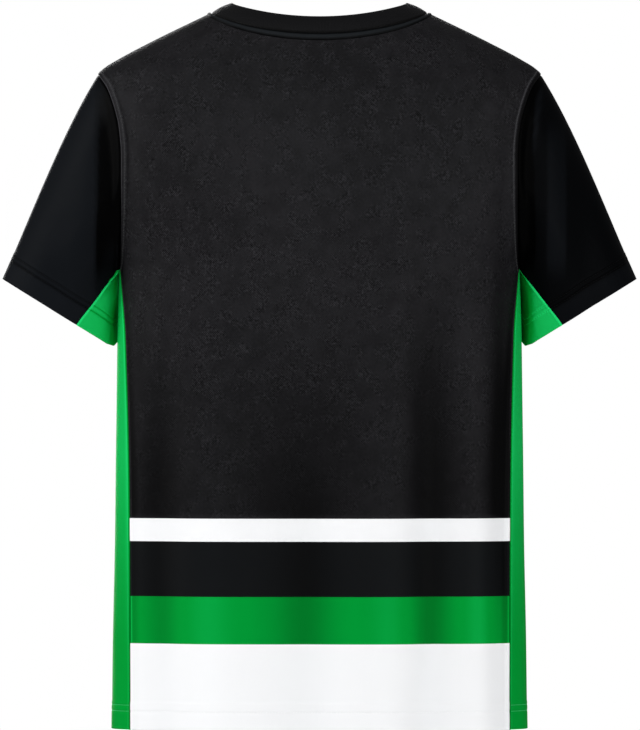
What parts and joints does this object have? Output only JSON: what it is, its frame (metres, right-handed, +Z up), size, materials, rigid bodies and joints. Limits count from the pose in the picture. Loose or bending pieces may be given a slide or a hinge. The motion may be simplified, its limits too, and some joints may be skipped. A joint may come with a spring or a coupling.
{
  "type": "football jersey, filled out",
  "caption": "Hollow short-sleeved crew-neck sports jersey, filled out as if worn, with green side panels, underarm gussets and level bands above the hem.",
  "frame": {"origin": "midway between the two high shoulder points, where the neck seam meets the shoulder seams and the wearer carries the jersey", "axes": "+Z up, -Y out of the chest, +X towards the wearer's left sleeve"},
  "size_m": [0.635, 0.232, 0.7251],
  "materials": {
    "back_mesh": "black knitted mesh, matt, printed with level bands of white, black and green low down",
    "front_mesh": "the same black mesh and bands as the back",
    "sleeve_knit": "smooth black polyester knit, soft sheen",
    "green_knit": "smooth bright green polyester knit",
    "collar_rib": "black ribbed knit, folded double"
  },
  "bodies": {
    "root": {"back_panel": "back_mesh", "front_panel": "front_mesh", "collar": "collar_rib", "side_panel_left": "green_knit", "side_panel_right": "green_knit", "sleeve_left": "sleeve_knit", "sleeve_right": "sleeve_knit", "sleeve_gusset_left": "green_knit", "sleeve_gusset_right": "green_knit"}
  },
  "joints": []
}
